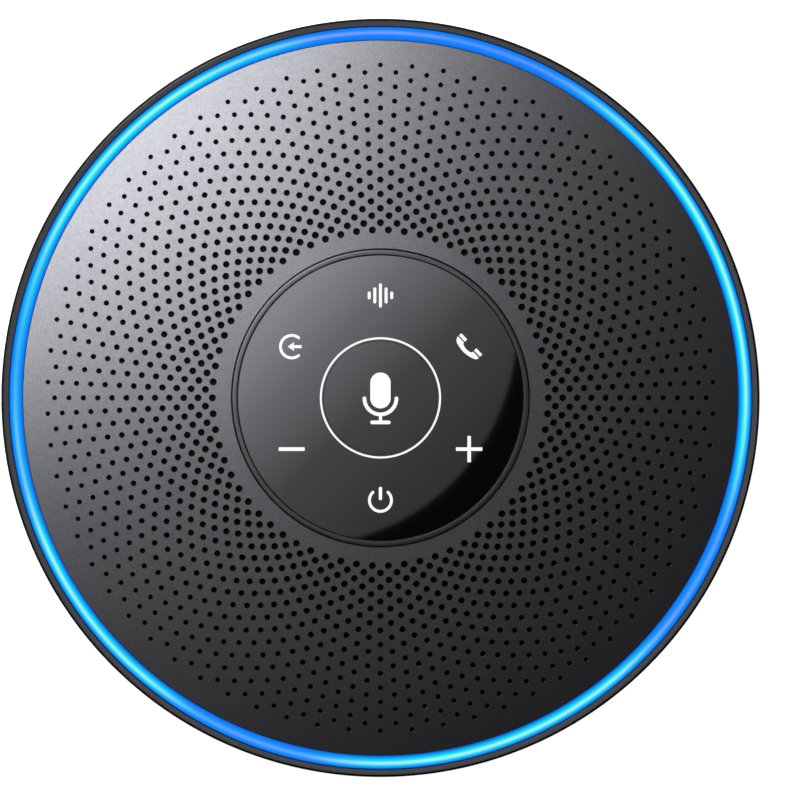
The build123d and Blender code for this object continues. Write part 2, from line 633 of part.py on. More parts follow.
with BuildPart() as light_guide_ring:
    with BuildSketch(Plane.XZ):
        guide_mid = (GUIDE_R_IN + GUIDE_R_OUT) / 2
        guide_edge = RIM_TOP - GUIDE_CROWN / 2
        with BuildLine():
            Polyline(
                (GUIDE_R_OUT, guide_edge),
                (GUIDE_R_OUT, GUIDE_BOTTOM),
                (GUIDE_R_IN, GUIDE_BOTTOM),
                (GUIDE_R_IN, guide_edge),
            )
            ThreePointArc(
                (GUIDE_R_IN, guide_edge),
                (guide_mid, guide_edge + GUIDE_CROWN),
                (GUIDE_R_OUT, guide_edge),
            )
        make_face()
    revolve(axis=Axis.Z)
save(light_guide_ring, "light_guide_ring")

trim_seat = RIM_TOP - TRIM_T - 0.05
rim_bezel = turned(
    (BEZEL_R_IN, BEZEL_BOTTOM),
    (BODY_R - 0.25, BEZEL_BOTTOM),
    (BODY_R, BEZEL_BOTTOM + 0.25),
    (BODY_R, RIM_TOP - 0.75),
    (BODY_R - 0.1, RIM_TOP - 0.45),
    (BODY_R - 0.3, RIM_TOP - 0.25),
    (TRIM_R_OUT + 0.03, RIM_TOP - 0.25),
    (TRIM_R_OUT + 0.03, trim_seat),
    (BEZEL_R_IN, trim_seat),
    (BEZEL_R_IN, GUIDE_BOTTOM - 0.1),
    (BEZEL_R_IN - 0.65, GUIDE_BOTTOM - 0.1),
    (BEZEL_R_IN - 0.65, GUIDE_BOTTOM - 0.7),
    (BEZEL_R_IN, GUIDE_BOTTOM - 0.7),
)
save(rim_bezel, "rim_bezel")

rim_trim = turned(
    (TRIM_R_IN, RIM_TOP - TRIM_T),
    (TRIM_R_OUT, RIM_TOP - TRIM_T),
    (TRIM_R_OUT, RIM_TOP - 0.22),
    (TRIM_R_OUT - 0.22, RIM_TOP),
    (TRIM_R_IN + 0.1, RIM_TOP),
    (TRIM_R_IN, RIM_TOP - 0.1),
)
save(rim_trim, "rim_trim")

# ---------------------------------------------------------------- grille and the mesh behind it
with BuildPart() as top_grille:
    with BuildSketch(Plane.XY.offset(GRILLE_TOP - GRILLE_T)):
        Circle(GRILLE_R_OUT)
        Circle(GRILLE_R_IN, mode=Mode.SUBTRACT)
        for pair in range(HOLE_RINGS):
            for half in (0, 1):
                depth = pair + half / 2
                hole_r = HOLE_SIZE_OUT + (HOLE_SIZE_IN - HOLE_SIZE_OUT) * depth / HOLE_RINGS
                turn = 90 + half * 180 / HOLE_RAYS
                with PolarLocations(HOLE_R0 - depth * RING_PITCH, HOLE_RAYS, start_angle=turn):
                    Circle(hole_r, mode=Mode.SUBTRACT)
    extrude(amount=GRILLE_T, clean=False)
save(top_grille, "top_grille")

mesh_top = GRILLE_TOP - GRILLE_T - 0.05
acoustic_mesh = plain_ring(FRAME_WALL_OUT + 0.6, HUB_WALL_IN + 0.2, mesh_top - MESH_T, mesh_top)
save(acoustic_mesh, "acoustic_mesh")

# ---------------------------------------------------------------- microphones
mic_z = FRAME_SHELF_Z + FRAME_SHELF_T + SEAT
MIC_BOARD_T, MIC_CAN_T = 0.8, 1.0
BOOT_TOP = FRAME_TOP - 0.1
for number, angle in enumerate(MIC_ANGLES, start=1):
    with BuildPart() as mic_board:
        with PolarLocations(MIC_PCR, 1, start_angle=angle):
            with Locations((0, 0, mic_z)):
                Box(6.6, 8, MIC_BOARD_T, align=(Align.CENTER, Align.CENTER, Align.MIN))
            with Locations((0, 0, mic_z + MIC_BOARD_T)):
                Box(2.7, 3.6, MIC_CAN_T, align=(Align.CENTER, Align.CENTER, Align.MIN))
    save(mic_board, f"mic_board_{number}")

    with BuildPart() as mic_boot:
        with PolarLocations(MIC_PCR, 1, start_angle=angle):
            boot_z = mic_z + MIC_BOARD_T + 0.05
            with Locations((0, 0, boot_z)):
                Box(5.6, 6.4, BOOT_TOP - boot_z, align=(Align.CENTER, Align.CENTER, Align.MIN))
                cavity_align = (Align.CENTER, Align.CENTER, Align.MIN)
                Box(3.1, 4.0, MIC_CAN_T + 0.1, align=cavity_align, mode=Mode.SUBTRACT)
                Cylinder(0.7, BOOT_TOP - boot_z, align=cavity_align, mode=Mode.SUBTRACT)
    save(mic_boot, f"mic_boot_{number}")

# ---------------------------------------------------------------- icons on the panel
PANEL_PLANE = Plane.XY.offset(BODY_H - ICON_DEPTH)

with BuildSketch(PANEL_PLANE) as level_mark:
    for index, height in enumerate((1.3, 2.7, 4.1, 2.7, 1.3)):
        with Locations((0.95 * (index - 2), 0)):
            SlotOverall(height, 0.5, rotation=90)

with BuildSketch(PANEL_PLANE) as phone_icon:
    with BuildLine():
        ThreePointArc((-1.91, 1.74), (-2.12, 1.10), (-1.82, 0.24))
        ThreePointArc((-1.82, 0.24), (-1.09, -0.76), (-0.12, -1.55))
        ThreePointArc((-0.12, -1.55), (0.52, -1.92), (1.19, -2.15))
        Polyline((1.19, -2.15), (1.65, -1.91), (0.65, -0.85))
        ThreePointArc((0.65, -0.85), (0.36, -0.98), (0.02, -0.82))
        ThreePointArc((0.02, -0.82), (-0.61, -0.29), (-0.99, 0.39))
        Polyline((-0.99, 0.39), (-0.90, 0.73), (-1.91, 1.74))
    make_face()
    with Locations(Location((-1.02, 1.55), 134.0), Location((1.52, -0.99), 134.0)):
        RectangleRounded(1.46, 0.54, 0.12)

with BuildSketch(PANEL_PLANE) as plus_icon:
    Rectangle(4.45, 0.59)
    Rectangle(0.59, 4.41)

with BuildSketch(PANEL_PLANE) as minus_icon:
    RectangleRounded(4.40, 0.62, 0.15)

with BuildSketch(PANEL_PLANE) as power_icon:
    with BuildLine(mode=Mode.PRIVATE):
        power_arc = CenterArc((0, 0), 1.86, 133, 274)
    SlotArc(power_arc, ICON_STROKE)
    with Locations((0, 1.15)):
        SlotOverall(2.26, 0.54, rotation=90)

with BuildSketch(PANEL_PLANE) as input_icon:
    with BuildLine(mode=Mode.PRIVATE):
        input_arc = CenterArc((0, 0), 1.90, 52, 256)
    SlotArc(input_arc, ICON_STROKE)
    Polygon((-0.68, 0), (0.41, 0.77), (0.28, 0), (0.41, -0.77), align=None)
    with Locations((0.90, 0)):
        Rectangle(1.54, 0.5)

with BuildSketch(PANEL_PLANE) as mute_art:
    with Locations((0, 1.25)):
        SlotOverall(6.05, 3.43, rotation=90)
    with BuildLine(mode=Mode.PRIVATE):
        cradle_arc = CenterArc((0, -0.09), 2.70, 180, 180)
    SlotArc(cradle_arc, 0.62)
    with Locations((0, -3.46)):
        Rectangle(0.52, 1.34)
    with Locations((0, -4.13)):
        SlotOverall(3.43, 0.62)

with BuildSketch(PANEL_PLANE) as panel_art:
    for angle, icon in (
        (0, level_mark),
        (60, phone_icon),
        (120, plus_icon),
        (180, power_icon),
        (240, minus_icon),
        (300, input_icon),
    ):
        with Locations(clock(ICON_PCR, angle)):
            add(icon.sketch_local)

with BuildPart() as panel_icons:
    add(panel_art.sketch)
    extrude(amount=ICON_DEPTH)
save(panel_icons, "panel_icons")

with BuildPart() as mute_icon:
    add(mute_art.sketch)
    extrude(amount=ICON_DEPTH)
save(mute_icon, "mute_icon")

# ---------------------------------------------------------------- lens, key and their light ring
with BuildPart() as control_lens:
    with BuildSketch(Plane.XY.offset(LENS_BOTTOM)):
        Circle(LENS_R)
        Circle(MUTE_RING_R_OUT + 0.02, mode=Mode.SUBTRACT)
    extrude(amount=LENS_T)
    outer_top = control_lens.edges().group_by(Axis.Z)[-1].sort_by(SortBy.LENGTH)[-1]
    fillet(outer_top, LENS_EDGE)
    add(panel_art.sketch)
    extrude(amount=ICON_DEPTH, mode=Mode.SUBTRACT)
save(control_lens, "control_lens")

save(plain_ring(MUTE_RING_R_OUT, MUTE_RING_R_IN, LENS_BOTTOM, BODY_H), "mute_light_ring")

KEY_FLANGE_TOP, KEY_FLANGE_BOTTOM, PLUNGER_BOTTOM = 35.25, 34.6, 34.15
with BuildPart() as mute_key:
    with BuildSketch(Plane.XY.offset(KEY_FLANGE_BOTTOM)):
        Circle(KEY_FLANGE_R)
    extrude(amount=KEY_FLANGE_TOP - KEY_FLANGE_BOTTOM)
    with BuildSketch(Plane.XY.offset(KEY_FLANGE_TOP)):
        Circle(KEY_R)
    extrude(amount=BODY_H - KEY_FLANGE_TOP)
    fillet(mute_key.edges().group_by(Axis.Z)[-1], 0.15)
    with BuildSketch(Plane.XY.offset(PLUNGER_BOTTOM)):
        Circle(2.0)
    extrude(amount=KEY_FLANGE_BOTTOM - PLUNGER_BOTTOM)
    add(mute_art.sketch)
    extrude(amount=ICON_DEPTH, mode=Mode.SUBTRACT)
save(mute_key, "mute_key")

# ---------------------------------------------------------------- control module under the lens
with BuildPart() as control_carrier:
    with BuildSketch(Plane.XZ):
        floor_top = CARRIER_FLOOR_Z + CARRIER_FLOOR_T
        Polygon(
            (0, CARRIER_FLOOR_Z),
            (CARRIER_R, CARRIER_FLOOR_Z),
            (CARRIER_R, CARRIER_STEP_Z),
            (CARRIER_STEP_R, CARRIER_STEP_Z),
            (CARRIER_STEP_R, LENS_BOTTOM - SEAT),
            (CARRIER_BORE_R, LENS_BOTTOM - SEAT),
            (CARRIER_BORE_R, floor_top),
            (0, floor_top),
            align=None,
        )
    revolve(axis=Axis.Z)
    with BuildSketch(Plane.XY.offset(floor_top)):
        with PolarLocations(19.5, 3, start_angle=30):
            Circle(1.8)
    extrude(amount=CONTROL_BOARD_Z - floor_top - 0.05)
    with BuildSketch(Plane.XY.offset(CARRIER_FLOOR_Z)):
        with PolarLocations(CARRIER_SCREW_PCR, 3, start_angle=30):
            Circle(SMALL_SCREW_R)
    extrude(amount=2.3, mode=Mode.SUBTRACT)
    with BuildSketch(Plane.XY.offset(CARRIER_FLOOR_Z)):
        with Locations((0, 21.3)):
            Rectangle(8.4, 1.8)
    extrude(amount=CARRIER_FLOOR_T, mode=Mode.SUBTRACT)
save(control_carrier, "control_carrier")

panel_bezel = turned(
    (PANEL_BEZEL_R_IN, CARRIER_STEP_Z + SEAT),
    (PANEL_BEZEL_R_OUT, CARRIER_STEP_Z + SEAT),
    (PANEL_BEZEL_R_OUT, PANEL_BEZEL_TOP - 0.15),
    (PANEL_BEZEL_R_OUT - 0.15, PANEL_BEZEL_TOP),
    (PANEL_BEZEL_R_IN + 0.2, PANEL_BEZEL_TOP),
    (PANEL_BEZEL_R_IN, PANEL_BEZEL_TOP - 0.2),
)
save(panel_bezel, "panel_bezel")

board_top = CONTROL_BOARD_Z + CONTROL_BOARD_T
save(plain_ring(22.1, 0, CONTROL_BOARD_Z, board_top), "control_board")

with BuildPart() as icon_leds:
    for led_radius, led_count, led_turn in ((ICON_PCR, 6, 90), (13.0, 6, 60)):
        with PolarLocations(led_radius, led_count, start_angle=led_turn):
            with Locations((0, 0, board_top)):
                Box(1.6, 0.8, 0.6, align=(Align.CENTER, Align.CENTER, Align.MIN))
save(icon_leds, "icon_leds")

with BuildPart() as light_baffle:
    with BuildSketch(Plane.XY.offset(board_top + 0.75)):
        Circle(CARRIER_BORE_R - 0.3)
        Circle(KEY_FLANGE_R + 0.5, mode=Mode.SUBTRACT)
        with PolarLocations(ICON_PCR, 6, start_angle=90):
            Circle(3.2, mode=Mode.SUBTRACT)
    extrude(amount=1.0)
save(light_baffle, "light_baffle")

save(plain_ring(CARRIER_BORE_R - 0.4, KEY_FLANGE_R + 0.5, 35.1, 35.25), "touch_film")

dome_switch = thin_dome(rim_r=2.6, rim_z=board_top + 0.02, rise=0.78, thickness=0.15)
save(dome_switch, "dome_switch")

# flat cable: down through the hub, out over the driver clamp, down to the main board
CABLE_W, CABLE_T = 7.0, 0.3
CABLE_IN_Y, CABLE_OUT_Y, CABLE_RUN_Z = 21.3, 39.4, 27.5
with BuildPart() as flat_cable:
    with BuildSketch(Plane.YZ):
        with BuildLine():
            FilletPolyline(
                (CABLE_IN_Y, CONTROL_BOARD_Z - 0.05),
                (CABLE_IN_Y, CABLE_RUN_Z),
                (CABLE_OUT_Y, CABLE_RUN_Z),
                (CABLE_OUT_Y, BOARD_TOP + 1.25),
                radius=1.0,
            )
            offset(amount=CABLE_T, side=Side.RIGHT)
        make_face()
    extrude(amount=CABLE_W / 2, both=True)
save(flat_cable, "flat_cable")

with BuildPart() as cable_connector:
    with Locations((0, CABLE_OUT_Y, BOARD_TOP)):
        Box(CABLE_W + 2, 2.6, 1.2, align=(Align.CENTER, Align.CENTER, Align.MIN))
save(cable_connector, "cable_connector")
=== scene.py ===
import json
import math

import bmesh
import bpy
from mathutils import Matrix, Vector


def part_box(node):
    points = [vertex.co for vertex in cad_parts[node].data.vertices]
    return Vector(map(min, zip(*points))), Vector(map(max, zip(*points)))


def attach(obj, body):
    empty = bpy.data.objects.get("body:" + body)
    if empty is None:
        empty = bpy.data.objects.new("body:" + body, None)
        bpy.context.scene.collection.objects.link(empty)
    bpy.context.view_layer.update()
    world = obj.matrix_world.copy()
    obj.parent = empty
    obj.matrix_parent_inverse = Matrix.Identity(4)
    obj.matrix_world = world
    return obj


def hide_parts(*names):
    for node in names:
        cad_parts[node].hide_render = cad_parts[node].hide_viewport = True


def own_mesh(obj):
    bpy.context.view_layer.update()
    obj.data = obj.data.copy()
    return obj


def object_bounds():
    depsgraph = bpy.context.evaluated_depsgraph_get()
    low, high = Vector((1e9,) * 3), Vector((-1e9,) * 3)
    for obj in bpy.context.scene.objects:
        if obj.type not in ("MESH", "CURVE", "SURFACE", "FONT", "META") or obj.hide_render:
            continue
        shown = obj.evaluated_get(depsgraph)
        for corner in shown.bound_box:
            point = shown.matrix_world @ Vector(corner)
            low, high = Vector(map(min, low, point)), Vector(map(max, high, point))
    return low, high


MM = 0.001
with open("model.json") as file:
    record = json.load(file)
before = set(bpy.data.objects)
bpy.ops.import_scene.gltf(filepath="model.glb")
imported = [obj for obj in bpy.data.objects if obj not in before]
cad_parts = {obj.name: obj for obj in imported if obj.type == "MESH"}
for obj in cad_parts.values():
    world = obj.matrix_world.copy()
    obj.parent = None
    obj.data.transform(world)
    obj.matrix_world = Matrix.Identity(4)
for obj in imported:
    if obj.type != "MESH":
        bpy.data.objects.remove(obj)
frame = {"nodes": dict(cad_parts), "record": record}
nodes = frame["nodes"]
cad_low, cad_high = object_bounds()
scene = bpy.context.scene

# ---------------------------------------------------------------- sizes read from the frame
grille_low, grille_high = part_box("top_grille")
TOP_Z = cad_high.z
GRILLE_Z = grille_high.z

# perforation of the grille: rays of holes, every second ray half a pitch further in
RAYS = 132
HOLES_PER_RAY = 12
HOLE_R0 = 56.18 * MM            # from the centre of the object to the outermost holes
PITCH = 2.42 * MM               # from hole to hole along a ray
HOLE_R_OUT = 0.40 * MM          # radius of the outermost holes
HOLE_R_IN = 0.60 * MM           # radius that the holes grow towards
GRILLE_R_IN = 25.13 * MM        # radius of the opening for the panel
HOLE_EDGE = 0.025 * MM          # softened edge of a hole
BORDER_EDGE = 0.12 * MM         # softened edge of the ring itself


def ring_size(name):
    """Inner and outer radius, bottom and top of a CAD ring, in millimetres."""
    radii = [math.hypot(v.co.x, v.co.y) for v in nodes[name].data.vertices]
    low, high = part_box(name)
    return min(radii) / MM, max(radii) / MM, low.z / MM, high.z / MM


# ---------------------------------------------------------------- material helpers
def new_material(name):
    """Empty node material with one Principled shader, and that shader."""
    mat = bpy.data.materials.new(name)
    mat.use_nodes = True
    mat.node_tree.nodes.clear()
    tree = mat.node_tree
    out = tree.nodes.new("ShaderNodeOutputMaterial")
    shader = tree.nodes.new("ShaderNodeBsdfPrincipled")
    tree.links.new(shader.outputs[0], out.inputs["Surface"])
    return mat, tree, shader


def node(tree, kind, inputs=None, **settings):
    """Add a node, set its properties and its unlinked inputs, or link them from other sockets."""
    made = tree.nodes.new("ShaderNode" + kind)
    for key, value in settings.items():
        setattr(made, key, value)
    for key, value in (inputs or {}).items():
        if isinstance(value, bpy.types.NodeSocket):
            tree.links.new(value, made.inputs[key])
        else:
            made.inputs[key].default_value = value
    return made


def object_coords(tree, scale):
    """Position on the object in metres, scaled, for patterns at real size."""
    coords = node(tree, "TexCoord")
    return node(tree, "Mapping", {"Vector": coords.outputs["Object"], "Scale": scale}).outputs[0]


def noise(tree, size_mm, detail=2.0, roughness=0.5):
    """Noise whose grains are about size_mm across."""
    source = node(tree, "TexCoord").outputs["Object"]
    made = node(tree, "TexNoise", {"Vector": source, "Scale": 1000.0 / size_mm,
                                   "Detail": detail, "Roughness": roughness})
    return made.outputs["Fac"]


def ramp(tree, factor, *stops, smooth=False):
    """Colour ramp from (position, colour) stops."""
    made = node(tree, "ValToRGB", {"Fac": factor})
    ramp_data = made.color_ramp
    ramp_data.interpolation = "EASE" if smooth else "LINEAR"
    while len(ramp_data.elements) < len(stops):
        ramp_data.elements.new(1.0)
    for element, (position, colour) in zip(ramp_data.elements, stops):
        element.position = position
        element.color = (*colour, 1.0) if len(colour) == 3 else colour
    return made.outputs["Color"]


def span(tree, factor, low, high):
    """Map a 0 to 1 factor to low to high."""
    return node(tree, "MapRange", {"Value": factor, "To Min": low, "To Max": high}).outputs[0]


def bump(tree, height, depth_mm, strength=1.0):
    """Shading normal from a height, depth_mm deep."""
    return node(tree, "Bump", {"Height": height, "Distance": depth_mm * MM,
                               "Strength": strength}).outputs[0]


def wire(tree, shader, **sockets):
    """Set or link the shader's sockets by name, underscores for spaces."""
    for key, value in sockets.items():
        socket = shader.inputs[key.replace("_", " ")]
        if isinstance(value, bpy.types.NodeSocket):
            tree.links.new(value, socket)
        else:
            socket.default_value = value


def moulded_plastic(name, dark, light, rough_low, rough_high, grain_mm, depth_mm, specular=0.5):
    """Injection-moulded plastic: spark-eroded grain, faint mottling, slightly uneven gloss."""
    mat, tree, shader = new_material(name)
    grain = noise(tree, grain_mm, detail=3.0, roughness=0.6)
    mottle = noise(tree, 9.0, detail=2.0)
    wire(tree, shader, Base_Color=ramp(tree, mottle, (0.3, dark), (0.7, light)),
         Roughness=span(tree, mottle, rough_low, rough_high),
         Normal=bump(tree, grain, depth_mm))
    shader.inputs["Specular IOR Level"].default_value = specular
    return mat


# ---------------------------------------------------------------- materials
def grille_metal():
    """Blasted, dark grey anodised aluminium: a fine sparkle over a slightly coarser mottle."""
    mat, tree, shader = new_material("grille_metal")
    sparkle = noise(tree, 0.20, detail=1.0, roughness=0.6)
    mottle = noise(tree, 0.55, detail=2.0, roughness=0.6)
    cloud = noise(tree, 14.0)
    grain = node(tree, "Mix", {"Factor": 0.35, "A": sparkle, "B": mottle}).outputs["Result"]
    tint = ramp(tree, grain, (0.30, (0.138, 0.140, 0.152)), (0.70, (0.228, 0.230, 0.250)))
    wire(tree, shader, Base_Color=tint, Metallic=1.0,
         Roughness=span(tree, cloud, 0.31, 0.33), Normal=bump(tree, sparkle, 0.003, 0.4))
    return mat


def rim_metal():
    """Satin dark metal of the outer trim ring."""
    mat, tree, shader = new_material("rim_metal")
    grain = noise(tree, 0.25, detail=2.0, roughness=0.6)
    tint = ramp(tree, grain, (0.3, (0.10, 0.10, 0.105)), (0.7, (0.13, 0.13, 0.136)))
    wire(tree, shader, Base_Color=tint, Metallic=1.0, Roughness=span(tree, grain, 0.24, 0.30),
         Normal=bump(tree, grain, 0.003, 0.4))
    return mat


def trim_metal():
    """Anodised trim ring round the control panel."""
    mat, tree, shader = new_material("panel_bezel_metal")
    grain = noise(tree, 0.2, detail=2.0)
    tint = ramp(tree, grain, (0.3, (0.108, 0.108, 0.116)), (0.7, (0.134, 0.134, 0.142)))
    wire(tree, shader, Base_Color=tint, Metallic=1.0, Roughness=span(tree, grain, 0.30, 0.36),
         Normal=bump(tree, grain, 0.003, 0.4))
    return mat


def panel_gloss():
    """High-gloss black panel with the faintest waviness under its clear coat."""
    mat, tree, shader = new_material("panel_gloss")
    wave = noise(tree, 18.0, detail=1.0)
    dust = noise(tree, 0.6, detail=4.0, roughness=0.7)
    tint = ramp(tree, dust, (0.45, (0.006, 0.006, 0.007)), (0.8, (0.010, 0.010, 0.011)))
    wire(tree, shader, Base_Color=tint, Roughness=span(tree, dust, 0.015, 0.03),
         Normal=bump(tree, wave, 0.004, 0.2))
    shader.inputs["IOR"].default_value = 1.52
    return mat


def icon_white():
    """White light-guide plastic, softly lit from behind."""
    mat, tree, shader = new_material("icon_white")
    fleck = noise(tree, 0.4, detail=2.0)
    tint = ramp(tree, fleck, (0.3, (0.86, 0.87, 0.90)), (0.7, (0.95, 0.96, 0.98)))
    wire(tree, shader, Base_Color=tint, Roughness=span(tree, fleck, 0.2, 0.3),
         Emission_Color=tint)
    shader.inputs["Emission Strength"].default_value = 1.05
    return mat


def light_guide():
    """Lit diffuser ring. Across it: blue edges, a lighter body, and a bright line off centre, partly the
    LEDs' glow and partly a painted highlight on the ring's rounded crest.
    Round it: arcs of cyan between arcs of plain blue."""
    mat, tree, shader = new_material("light_guide")
    place = node(tree, "SeparateXYZ", {0: node(tree, "TexCoord").outputs["Object"]})
    turn = node(tree, "Math", {0: place.outputs["X"], 1: place.outputs["Y"]}, operation="ARCTAN2")
    clock = node(tree, "MapRange", {"Value": turn.outputs[0], "From Min": -math.pi,
                                    "From Max": math.pi}).outputs[0]
    flat = node(tree, "CombineXYZ", {"X": place.outputs["X"], "Y": place.outputs["Y"]})
    radius = node(tree, "VectorMath", {0: flat.outputs[0]}, operation="LENGTH").outputs["Value"]
    guide_in, guide_out = ring_size("light_guide_ring")[:2]
    across = node(tree, "MapRange", {"Value": radius, "From Min": guide_in * MM,
                                     "From Max": guide_out * MM}).outputs[0]

    def around(*levels):
        """Level round the ring from (degrees clockwise from +Y, level) stops."""
        stops = [((angle + 180) / 360, (level,) * 3) for angle, level in levels]
        return ramp(tree, clock, *stops, smooth=True)

    cyan_share = around((-180, 0.85), (-166, 0.1), (-152, 0.1), (-140, 0.9), (-116, 0.9), (-100, 0.35),
                        (-84, 0.25), (-70, 0.6), (-56, 1.0), (-34, 1.0), (-20, 0.6), (-8, 0.0),
                        (26, 0.0), (44, 0.75), (58, 1.0), (94, 0.95), (112, 0.1), (128, 0.1),
                        (142, 0.9), (170, 1.0), (180, 0.85))
    # strength of the bright crest line round the ring; that line is partly LED glow and partly painted
    # highlight
    crest_line_share = around((-180, 1.0), (-165, 0.3), (-150, 0.25), (-138, 0.85), (-116, 1.0), (-100, 0.5),
                       (-86, 0.12), (-74, 0.12), (-60, 0.8), (-36, 1.0), (-18, 0.6), (0, 0.5),
                       (16, 0.25), (28, 0.25), (42, 0.6), (58, 1.0), (86, 1.0), (100, 0.4),
                       (120, 0.25), (130, 0.4), (142, 0.95), (180, 1.0))
    edge = (0.002, 0.18, 0.93)
    blue_body = ramp(tree, across, (0.04, edge), (0.20, (0.008, 0.21, 0.97)), (0.50, (0.020, 0.27, 0.98)),
                     (0.80, (0.009, 0.23, 0.98)), (0.98, edge))
    cyan_body = ramp(tree, across, (0.05, edge), (0.19, (0.004, 0.49, 0.92)), (0.36, (0.010, 0.80, 0.83)),
                     (0.56, (0.020, 0.84, 0.86)), (0.72, (0.012, 0.70, 0.88)), (0.86, (0.005, 0.42, 0.89)),
                     (0.97, edge))
    body = node(tree, "Mix", {"Factor": cyan_share, "A": blue_body, "B": cyan_body},
                data_type="RGBA").outputs["Result"]
    # painted highlight: the bright line near the crest is partly the LEDs' glow and partly a painted
    # highlight of the rounded crest
    black, crest_glow_and_highlight = (0.0, 0.0, 0.0), (0.32, 0.12, 0.05)
    crest_line = ramp(tree, across, (0.34, black), (0.53, crest_glow_and_highlight), (0.58, crest_glow_and_highlight), (0.78, black),
                smooth=True)
    glow_and_highlight = node(tree, "Mix", {"Factor": crest_line_share, "A": (0.0, 0.0, 0.0, 1.0), "B": crest_line},
               data_type="RGBA").outputs["Result"]
    lit = node(tree, "Mix", {"Factor": 1.0, "A": body, "B": glow_and_highlight}, data_type="RGBA",
               blend_type="ADD").outputs["Result"]
    wire(tree, shader, Base_Color=(0.002, 0.01, 0.03, 1.0), Roughness=0.45, Emission_Color=lit)
    shader.inputs["Specular IOR Level"].default_value = 0.1
    shader.inputs["Emission Strength"].default_value = 1.0
    return mat


def acoustic_cloth():
    """Black woven cloth, seen only as the dark behind each hole."""
    mat, tree, shader = new_material("mesh_cloth")
    coords = object_coords(tree, (2800.0, 2800.0, 1.0))
    weave = node(tree, "TexWave", {"Vector": coords, "Scale": 1.0, "Distortion": 0.6})
    tint = ramp(tree, weave.outputs["Fac"], (0.2, (0.004, 0.004, 0.004)), (0.9, (0.012, 0.012, 0.013)))
    wire(tree, shader, Base_Color=tint, Roughness=0.95, Normal=bump(tree, weave.outputs["Fac"], 0.05))
    return mat


def rubber(name, dark, light, grain_mm=0.5):
    """Matt rubber, foam, paper or cloth: a soft irregular grain."""
    mat, tree, shader = new_material(name)
    grain = noise(tree, grain_mm, detail=4.0, roughness=0.6)
    wire(tree, shader, Base_Color=ramp(tree, grain, (0.3, dark), (0.7, light)),
         Roughness=span(tree, grain, 0.62, 0.78), Normal=bump(tree, grain, 0.02))
    return mat


def metal(name, dark, light, rough_low, rough_high, grain_mm=0.4):
    """Bare, plated or coated metal with a faint uneven sheen."""
    mat, tree, shader = new_material(name)
    grain = noise(tree, grain_mm, detail=3.0)
    wire(tree, shader, Base_Color=ramp(tree, grain, (0.3, dark), (0.7, light)), Metallic=1.0,
         Roughness=span(tree, grain, rough_low, rough_high), Normal=bump(tree, grain, 0.004, 0.5))
    return mat


def circuit_board():
    """Green solder mask over faint copper tracks."""
    mat, tree, shader = new_material("circuit_board")
    coords = object_coords(tree, (900.0, 900.0, 900.0))
    tracks = node(tree, "TexBrick", {"Vector": coords, "Scale": 1.0, "Mortar Size": 0.06,
                                     "Color1": (0.010, 0.085, 0.035, 1),
                                     "Color2": (0.010, 0.095, 0.04, 1),
                                     "Mortar": (0.02, 0.16, 0.07, 1)}).outputs["Color"]
    wire(tree, shader, Base_Color=tracks, Roughness=0.28)
    shader.inputs["Coat Weight"].default_value = 0.4
    return mat


